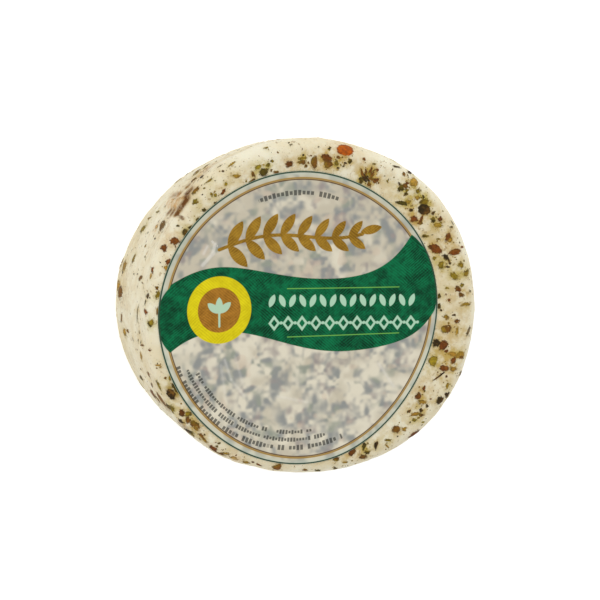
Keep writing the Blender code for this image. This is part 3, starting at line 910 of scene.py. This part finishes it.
flake_draw = np.random.default_rng(17)
layout = [np.concatenate(pair) for pair in zip(seen_layout(), hidden_layout(flake_draw))]
flakes = Chips(flake_draw, layout, KIND_FADES[layout[0]], CHIP_SHARES, CHIP_LIFTS, CHIP_SIDES)
layout = crumb_layout(flake_draw, flakes)
fades = flake_draw.uniform(0.1, 0.8, len(layout[0]))
crumbs = Chips(flake_draw, layout, fades, CRUMB_SHARES, CRUMB_LIFTS, CRUMB_SIDES)
flake_finish = flake_material()
make_flakes("pepper_flakes", flakes, PEPPER, flakes)
make_flakes("herb_flakes", flakes, LEAF, flakes)
make_flakes("pepper_crumbs", crumbs, PEPPER, flakes)
make_flakes("herb_crumbs", crumbs, LEAF, flakes)
add_stains_and_shade(wheel, wheel_points, flakes)


# The label
# A round of thin translucent film, printed and stuck to the face off its centre, so that its left side
# bends over the wheel's rounded edge. The flakes under it show as soft blue-grey marks in its colour.
FILM_LIFT = 0.12 * MM
FILM_THICKNESS = 0.10 * MM
FILM_EDGE_LINE = 0.35  # its middle from the label's edge, in millimetres
LABEL_RINGS = 136
LABEL_SIDES = 600
LABEL_WAVES = (
    (2, 0.12 * MM, -0.15 * MM),
    (3, -0.05 * MM, 0.68 * MM),
    (4, 0.35 * MM, 0.19 * MM),
    (5, 0.05 * MM, 0.10 * MM),
)
GOLD_LINE_INSET = 2.9  # from the label's edge, in millimetres
EMBLEM = (-31.0, 3.8)  # its middle, in millimetres from the print's
EMBLEM_RADIUS = 12.6
EMBLEM_DISC_RADIUS = 8.4
LIME_MIDDLE = 18.5  # of the two thin lines in the band, in millimetres to the right of the print's
LIME_REACH = 22.8
UPPER_LIME_HEIGHT = 9.85
LOWER_LIME_DEPTH = 8.1
WRINKLE_REACH = 0.4  # in millimetres, across
WRINKLES = (  # ends in millimetres from the print's middle, and height
    ((-29.0, -15.0), (-26.5, -22.5), 0.09),
    ((-26.5, -22.5), (-21.5, -29.0), 0.07),
    ((-30.5, -17.0), (-29.0, -27.0), 0.06),
    ((-25.0, -14.0), (-22.0, -24.0), 0.05),
    ((-32.6, 28.4), (-33.4, 25.0), 0.22),
    ((-33.4, 25.0), (-37.4, 20.8), 0.26),
    ((-35.6, 27.6), (-37.0, 25.0), 0.14),
    ((-8.0, -30.0), (4.0, -33.0), 0.08),
    ((33.0, -20.0), (39.0, -29.0), 0.10),
)


def to_segment(u, v, start, end):
    """Distance of each point from a straight line between two ends."""
    along = np.array(end) - np.array(start)
    share = np.clip(((u - start[0]) * along[0] + (v - start[1]) * along[1]) / (along @ along), 0.0, 1.0)
    return np.hypot(u - start[0] - share * along[0], v - start[1] - share * along[1])


def wrinkles_at(u, v):
    """Rise of the film's fine wrinkles in millimetres: bell curves across straight creases."""
    total = np.zeros(len(u))
    for start, end, rise in WRINKLES:
        off = to_segment(u, v, start, end) / WRINKLE_REACH
        total += rise * np.exp(-0.5 * off**2)
    return total


def film_height(x, y):
    """The film's underside: the face and its rounded edge, the slow unevenness, and a few fine wrinkles."""
    flat = np.column_stack([x, y]) - FACE_CENTRE
    bearing = np.arctan2(flat[:, 1], flat[:, 0])
    from_rim = rim_radius(bearing, 0.0) - np.hypot(flat[:, 0], flat[:, 1])
    over = np.clip(FACE_EDGE_ROUND - from_rim, 0.0, FACE_EDGE_ROUND)
    height = face_level(x, y) - FACE_EDGE_ROUND + np.sqrt(FACE_EDGE_ROUND**2 - over**2)
    height = height + soft_form(np.column_stack([x, y, height])) + FILM_LIFT
    return height + wrinkles_at((x - PRINT_MIDDLE[0]) / MM, (y - PRINT_MIDDLE[1]) / MM) * MM


def film_rings():
    """Rings of the film: out over its upper side, and back under it with fewer rings."""
    bearing = np.arange(LABEL_SIDES) * 2.0 * math.pi / LABEL_SIDES
    outline = LABEL_RADIUS + waves(LABEL_WAVES, bearing)
    rings = []
    for share in np.linspace(0.0, 1.0, LABEL_RINGS + 1)[1:]:
        x = LABEL_CENTRE[0] + share * outline * np.cos(bearing)
        y = LABEL_CENTRE[1] + share * outline * np.sin(bearing)
        rings.append(np.column_stack([x, y, film_height(x, y) + FILM_THICKNESS]))
    return rings + [ring - np.array([0.0, 0.0, FILM_THICKNESS]) for ring in rings[::-9]]


def pointed_oval(u, v, centre, length, width, turn):
    """Signed distance to a leaf shape: the overlap of two circles that pass through its two tips."""
    a = (u - centre[0]) * math.cos(turn) + (v - centre[1]) * math.sin(turn)
    b = (v - centre[1]) * math.cos(turn) - (u - centre[0]) * math.sin(turn)
    half, rise = 0.5 * length, 0.5 * width
    radius = (half**2 + rise**2) / (2.0 * rise)
    return np.hypot(a, np.abs(b) + radius - rise) - radius


def wave_through(u, ends):
    """A smooth curve that passes close to the given points."""
    along, across = np.array(ends).T
    return np.polyval(np.polyfit(along, across, 7), u)


RIGHT_BULGE = (12.0, 22.0, 17.0)  # bearing of its middle, and its reach above and below, in degrees
LEFT_BULGE = (179.0, 13.5)  # bearing of its middle, and its reach


def green_band(u, v, from_edge):
    """Signed distance to the band, whose two edges are waves and whose ends bulge to the label's edge.

    Between the two lines round the label the bulges narrow by the third power of the turn from their
    middles, so that a pale strip is left beside the band's tips.
    """
    top = wave_through(u, (
        (-58, 10.0), (-50.5, 13.7), (-42, 17.8), (-33, 19.6), (-25, 19.4), (-13, 17.2), (1, 14.7),
        (13, 13.4), (25, 14.4), (33, 17.2), (38, 20.0), (41.5, 22.6), (44.2, 25.6), (46, 29.7), (58, 60.0),
    ))
    foot = wave_through(u, (
        (-58, -20.0), (-49, -10.5), (-43.5, -6.6), (-35, -5.0), (-19, -5.8), (-11, -7.7), (-3, -10.8),
        (7, -13.2), (17, -14.2), (29, -13.7), (42, -11.7), (52, -5.3), (58, 3.0),
    ))
    bearing = np.degrees(np.arctan2(v, u))
    middle, above, below = RIGHT_BULGE
    right_end = np.abs(bearing - middle) / np.where(bearing > middle, above, below)
    middle, reach = LEFT_BULGE
    left_end = np.abs((bearing - middle + 180.0) % 360.0 - 180.0) / reach
    inset = GOLD_LINE_INSET * np.minimum(np.minimum(right_end, left_end), 1.0) ** 3
    return np.max([v - top, foot - v, inset - from_edge], axis=0)


def gold_sprig(u, v):
    """A herb sprig: a wavy stem with pairs of pointed leaves that grow shorter towards its tip."""
    def stem(share):
        return -31.0 + 57.0 * share, 26.2 + 6.0 * share + 2.6 * np.sin(5.2 * share)

    steps = np.linspace(0.0, 1.0, 28)
    path = np.column_stack(stem(steps))
    shape = np.min([to_segment(u, v, a, b) for a, b in zip(path[:-1], path[1:])], axis=0) - 0.65
    for share in np.linspace(0.06, 0.9, 8):
        x, y = stem(share)
        length = 11.6 - 3.4 * share
        for side in (1.0, -1.0):
            turn = side * (0.95 - 0.25 * share) + 0.1
            centre = (x + 0.5 * length * math.cos(turn), y + 0.45 * length * math.sin(turn))
            shape = np.minimum(shape, pointed_oval(u, v, centre, length, 0.38 * length, turn))
    return np.minimum(shape, pointed_oval(u, v, (29.5, 31.5), 9.0, 3.4, 0.2))


def emblem_leaves(u, v):
    """Three pale leaves on a short stalk, in the emblem's disc."""
    x, y = EMBLEM
    shape = to_segment(u, v, (x, y - 6.2), (x, y - 0.5)) - 0.4
    for turn in (0.5 * math.pi, 0.5 * math.pi + 0.85, 0.5 * math.pi - 0.85):
        centre = (x + 3.1 * math.cos(turn), y - 1.3 + 3.1 * math.sin(turn))
        shape = np.minimum(shape, pointed_oval(u, v, centre, 6.0, 2.7, turn))
    return shape


def pale_ornament(u, v):
    """Two rows of repeated figures in the band: leaning grains, and open diamonds with dots between."""
    shape = np.full(len(u), 99.0)
    for i in range(15):
        x = -10.2 + 4.05 * i
        y = 6.2 - 0.04 * (x + 10.0)
        lean_way = 0.4 if i % 2 else -0.4
        shape = np.minimum(shape, pointed_oval(u, v, (x, y), 5.2, 2.3, 0.5 * math.pi + lean_way))
    for i in range(11):
        x = -9.4 + 5.55 * i
        y = -2.2 - 0.045 * (x + 10.0)
        diamond = np.abs(u - x) + 0.78 * np.abs(v - y) - 1.75
        shape = np.minimum(shape, np.abs(diamond) * 0.75 - 0.42)
        shape = np.minimum(shape, np.hypot(u - x - 2.8, v - y) - 0.6)
    return shape


SMALL_PRINT_ROWS = (  # middle's radius and height in millimetres, start and end in degrees, blocks' pitch
    (46.4, 2.0, 69.0, 110.0, 1.7),
    (50.1, 2.0, 199.0, 291.0, 1.5),
    (47.0, 1.6, 202.0, 284.0, 1.2),
    (44.1, 1.6, 205.0, 279.0, 1.2),
)
ROW_APART = 200.0  # keeps the random draws of one row from those of the next


def small_print(u, v):
    """Distance to the nearest row that follows the label's edge, and the count of blocks along that row."""
    radius, bearing = np.hypot(u, v), np.degrees(np.arctan2(v, u)) % 360.0
    nearest, along = np.full(len(u), 99.0), np.zeros(len(u))
    for i, (middle, height, start, end, pitch) in enumerate(SMALL_PRINT_ROWS):
        beyond = np.radians(np.maximum(start - bearing, bearing - end)) * middle
        apart = np.maximum(np.abs(radius - middle) - 0.5 * height, beyond)
        along = np.where(apart < nearest, np.radians(bearing) * middle / pitch + ROW_APART * i, along)
        nearest = np.minimum(nearest, apart)
    return nearest, along


def under_film(points, v):
    """What shows through the film: soft slate, grey-green and mauve blotches and a few pinkish ones.

    Sums of lumps of three sizes, at places bent a little by other lumps, are thresholded by smooth
    steps. The tone of the blotches sways by wider lumps, and the upper part's ground is more clouded.
    """
    bend = np.column_stack([lumps(points, 4.4 * MM, seed) for seed in (31, 32, 33)])
    bent = points + 0.7 * MM * bend

    def sway(size, seed):
        return lumps(bent, size * MM, seed)

    def share(value, low, high):
        part = np.clip((value - low) / (high - low), 0.0, 1.0)
        return (part * part * (3.0 - 2.0 * part))[:, None]

    upper = np.clip((v - 4.0) / 12.0, 0.0, 1.0)
    cloud = share(sway(5.5, 25) + 0.5 * sway(2.2, 26) + 0.85 * upper, -0.4, 0.9)
    colours = FILM_GROUND + cloud * (FILM_SHADE - FILM_GROUND)
    tone = sway(6.0, 27) + 0.5 * sway(2.8, 28)
    mark = FILM_SLATE + share(tone, 0.1, 0.6) * (FILM_GREEN_GREY - FILM_SLATE)
    mark += share(-tone, 0.2, 0.6) * (FILM_MAUVE - mark)
    blotch = 0.42 * sway(7.5, 21) + 0.72 * sway(3.1, 22) + 0.5 * sway(1.5, 23) + 0.03
    colours += 0.97 * share(blotch, -0.42, 0.68) * (mark - colours)
    colours += 0.35 * share(sway(3.4, 24), 0.38, 0.6) * (FILM_PINK - colours)
    return colours


FILM_GROUND = np.array(linear(242, 237, 220))
FILM_SHADE = np.array(linear(206, 200, 185))
FILM_SLATE = np.array(linear(108, 127, 146))
FILM_GREEN_GREY = np.array(linear(120, 142, 142))
FILM_MAUVE = np.array(linear(132, 128, 144))
FILM_PINK = np.array(linear(222, 196, 180))


def make_woven():
    """Two inks' tones in fine wandering lines: one slant gives way to the other from patch to patch."""
    inputs = {"Where": "NodeSocketVector", "Deep": "NodeSocketColor", "Bright": "NodeSocketColor"}
    made, nodes, given, end = new_group("woven_ink", inputs, ("Color", "NodeSocketColor"))
    where = given["Where"]
    parts = nodes.add("ShaderNodeSeparateXYZ", {"Vector": where}).outputs
    threads = []
    for turn, wander in ((math.radians(50.0), 110.0), (math.radians(128.0), 130.0)):
        across = nodes.math("MULTIPLY", parts[0], math.cos(turn) * WEAVE_TURNS)
        along = nodes.math("MULTIPLY_ADD", parts[1], math.sin(turn) * WEAVE_TURNS, across)
        phase = nodes.math("MULTIPLY_ADD", nodes.noise(where, wander), 12.0, along)
        threads.append(nodes.math("SINE", phase))
    slant = nodes.step(nodes.noise(where, 60.0, 1.0), 0.44, 0.56)
    other = nodes.math("MULTIPLY", threads[1], slant)
    line = nodes.math("MULTIPLY_ADD", threads[0], nodes.math("SUBTRACT", 1.0, slant), other)
    faint = nodes.step(nodes.noise(where, 90.0, 2.0), 0.35, 0.65, 0.12, 0.32)
    cloud = nodes.step(nodes.noise(where, 240.0, 4.0, 0.7), 0.3, 0.7, 0.15, 0.85)
    share = nodes.math("MULTIPLY_ADD", line, faint, cloud, clamp=True)
    nodes.put(end, 0, nodes.mix(share, given["Deep"], given["Bright"]))
    return made


WEAVE_TURNS = 2.0 * math.pi / (0.88 * MM)
woven_ink = make_woven()
GOLD_INK = (linear(128, 92, 20), linear(180, 138, 44))  # deep and bright, as the next three
GREEN_INK = (linear(0, 46, 26), linear(6, 124, 76))
YELLOW_INK = (linear(210, 192, 10), linear(240, 224, 24))
OCHRE_INK = (linear(140, 94, 24), linear(190, 132, 46))
PALE_INK = linear(190, 228, 198)
LIME_INK = linear(120, 186, 84)
SMALL_PRINT_INK = linear(58, 60, 54)
GOLD_LINE = linear(172, 138, 74)
BROWN_LINE = linear(106, 80, 44)
LINE_APART = 0.28  # of the gold and of the brown line from their inset, in millimetres
EDGE_GREEN = linear(48, 76, 56)
RIM_OUTER = linear(202, 208, 186)
RIM_INNER = linear(212, 196, 156)
# painted highlight along the film's wrinkles, stronger the higher each rises
CREASE_HIGHLIGHT_TONE = linear(244, 240, 230)
CREASE_HIGHLIGHT_PER_MM = 3.4  # for each millimetre that a wrinkle rises
MOST_CREASE_HIGHLIGHT = 0.5


def label_material():
    """Printed film: each ink lies where the distance to its shape, carried by the mesh, is negative."""
    made, nodes, shader = new_material("printed_film")
    where = nodes.where()
    from_edge = nodes.attribute("from_edge")

    def inked(name, soft=0.16):
        return nodes.step(nodes.attribute(name), -soft, soft, 1.0, 0.0)

    def line_at(distance, middle, width):
        off = nodes.math("ABSOLUTE", nodes.math("SUBTRACT", distance, middle))
        return nodes.step(off, 0.5 * width - 0.12, 0.5 * width + 0.12, 1.0, 0.0)

    def woven(deep, bright):
        return nodes.group(woven_ink, {"Where": where, "Deep": deep, "Bright": bright})

    ring = nodes.step(from_edge, GOLD_LINE_INSET - 1.2, GOLD_LINE_INSET, 0.65, 0.3)
    rim = nodes.mix(nodes.step(from_edge, 0.8, GOLD_LINE_INSET), RIM_OUTER, RIM_INNER)
    colour = nodes.mix(ring, nodes.attribute("under_film", "Color"), rim)
    # Painted highlight: the film is lightened along its wrinkles.
    crease_highlight = nodes.math("MULTIPLY", nodes.attribute("crease"), CREASE_HIGHLIGHT_PER_MM)
    colour = nodes.mix(nodes.math("MINIMUM", crease_highlight, MOST_CREASE_HIGHLIGHT), colour, CREASE_HIGHLIGHT_TONE)
    along = nodes.attribute("print_along")
    number = {"W": nodes.math("FLOOR", along)}
    block = nodes.add("ShaderNodeTexWhiteNoise", number, noise_dimensions="1D").outputs[0]
    off = nodes.math("ABSOLUTE", nodes.math("SUBTRACT", nodes.math("FRACT", along), 0.5))
    column = nodes.math("MULTIPLY", nodes.step(off, 0.30, 0.42, 1.0, 0.0), nodes.step(block, 0.12, 0.13))
    shorter = nodes.step(block, 0.45, 0.46, 0.3, 0.0)
    row = nodes.step(nodes.math("ADD", nodes.attribute("print_row"), shorter), -0.16, 0.16, 1.0, 0.0)
    inking = nodes.math("MULTIPLY", nodes.math("MULTIPLY", row, column), 0.8)
    colour = nodes.mix(inking, colour, SMALL_PRINT_INK)
    colour = nodes.mix(inked("gold_ink"), colour, woven(*GOLD_INK))
    colour = nodes.mix(line_at(from_edge, GOLD_LINE_INSET - LINE_APART, 0.65), colour, GOLD_LINE)
    colour = nodes.mix(line_at(from_edge, GOLD_LINE_INSET + LINE_APART, 0.42), colour, BROWN_LINE)
    colour = nodes.mix(inked("green_ink"), colour, woven(*GREEN_INK))
    beside = nodes.step(nodes.attribute("lime_reach"), -0.1, 0.1, 1.0, 0.0)
    for name in ("upper_lime", "lower_lime"):
        lime = nodes.math("MULTIPLY", line_at(nodes.attribute(name), 0.0, 0.34), beside)
        colour = nodes.mix(lime, colour, LIME_INK)
    colour = nodes.mix(inked("yellow_ink"), colour, woven(*YELLOW_INK))
    colour = nodes.mix(inked("ochre_ink"), colour, woven(*OCHRE_INK))
    colour = nodes.mix(nodes.math("MULTIPLY", inked("pale_ink", 0.14), 0.9), colour, PALE_INK)
    colour = nodes.mix(line_at(from_edge, FILM_EDGE_LINE, 0.55), colour, EDGE_GREEN)
    nodes.put(shader, "Base Color", colour)
    nodes.put(shader, "Roughness", nodes.step(nodes.noise(where, 300.0), 0.3, 0.7, 0.42, 0.6))
    grain = nodes.noise(where, 380.0, 3.0)
    bump = nodes.add("ShaderNodeBump", {"Height": grain, "Strength": 0.2, "Distance": 0.2 * MM})
    nodes.put(shader, "Normal", bump.outputs[0])
    nodes.put(shader, "Specular IOR Level", 0.12)
    return made


def make_label():
    """The film's mesh, with the distances in millimetres to the shapes of its print."""
    rings = film_rings()
    points, faces = ringed_form(rings, rings[0].mean(axis=0), rings[-1].mean(axis=0))
    label = new_piece("printed_label", points, faces, label_material(), "face_label")
    offset = points[:, :2] - LABEL_CENTRE
    outline = LABEL_RADIUS + waves(LABEL_WAVES, np.arctan2(offset[:, 1], offset[:, 0]))
    from_edge = (outline - np.hypot(*offset.T)) / MM
    u, v = ((points[:, :2] - PRINT_MIDDLE[:2]) / MM).T
    from_emblem = np.hypot(u - EMBLEM[0], v - EMBLEM[1])
    row, along = small_print(u, v)
    distances = {
        "from_edge": from_edge,
        "green_ink": green_band(u, v, from_edge),
        "yellow_ink": from_emblem - EMBLEM_RADIUS,
        "ochre_ink": from_emblem - EMBLEM_DISC_RADIUS,
        "gold_ink": gold_sprig(u, v),
        "pale_ink": np.minimum(pale_ornament(u, v), emblem_leaves(u, v)),
        "upper_lime": v - UPPER_LIME_HEIGHT + 0.031 * (u - LIME_MIDDLE),
        "lower_lime": v + LOWER_LIME_DEPTH + 0.018 * (u - LIME_MIDDLE),
        "lime_reach": np.abs(u - LIME_MIDDLE) - LIME_REACH,
        "print_row": row,
        "print_along": along,
        "crease": wrinkles_at(u, v),
    }
    for name, distance in distances.items():
        add_numbers(label, name, distance)
    add_colours(label, "under_film", under_film(points, v))


make_label()


# The floor and the light
# A plain white studio floor under even, soft light, brightest from the picture's upper left. The floor
# and the surround look a little brighter to the camera than they light the cheese.
FLOOR_SIZE = 3.0
FLOOR_GLOW = 0.1
FLOOR_GLOW_SEEN = 0.35  # more than that, for the camera alone
SURROUND_STRENGTH = 0.72
SURROUND_SEEN = 0.4  # more than that, for the camera alone
LIT_PLACE = Vector((0.0, 0.0, 20.0 * MM))


def make_floor():
    """A white floor that glows more for the camera, so that it stays white all round the wheel."""
    made, nodes, shader = new_material("studio_white")
    nodes.put(shader, "Base Color", linear(250, 250, 250))
    nodes.put(shader, "Roughness", 0.9)
    nodes.put(shader, "Emission Color", (1.0, 1.0, 1.0))
    seen = nodes.add("ShaderNodeLightPath", {}).outputs["Is Camera Ray"]
    nodes.put(shader, "Emission Strength", nodes.math("MULTIPLY_ADD", seen, FLOOR_GLOW_SEEN, FLOOR_GLOW))
    half = 0.5 * FLOOR_SIZE
    corners = [(-half, -half, 0.0), (half, -half, 0.0), (half, half, 0.0), (-half, half, 0.0)]
    mesh = bpy.data.meshes.new("studio_floor")
    mesh.from_pydata(corners, [], [(0, 1, 2, 3)])
    mesh.materials.append(made)
    floor = bpy.data.objects.new("studio_floor", mesh)
    bpy.context.scene.collection.objects.link(floor)


def add_light(name, place, size, power, colour):
    """A square soft light that faces the wheel."""
    light = bpy.data.lights.new(name, "AREA")
    light.size = size
    light.energy = power
    light.color = colour
    lamp = bpy.data.objects.new(name, light)
    lamp.location = place
    lamp.rotation_euler = (LIT_PLACE - Vector(place)).to_track_quat("-Z", "Y").to_euler()
    bpy.context.scene.collection.objects.link(lamp)


def light_studio():
    """An even white surround, a key light from high on the left and a low light from behind."""
    world = bpy.data.worlds.new("studio")
    world.use_nodes = True
    nodes = Nodes(world.node_tree)
    background = world.node_tree.nodes["Background"]
    nodes.put(background, "Color", (1.0, 1.0, 1.0))
    seen = nodes.add("ShaderNodeLightPath", {}).outputs["Is Camera Ray"]
    strength = nodes.math("MULTIPLY_ADD", seen, SURROUND_SEEN, SURROUND_STRENGTH)
    nodes.put(background, "Strength", strength)
    bpy.context.scene.world = world
    add_light("key", place=(-0.55, 0.5, 0.8), size=0.6, power=2.2, colour=(1.0, 0.988, 0.96))
    add_light("rim", place=(0.75, 0.6, 0.14), size=0.5, power=1.9, colour=(0.98, 0.99, 1.0))
    bpy.context.scene.view_settings.view_transform = "Standard"


make_floor()
light_studio()
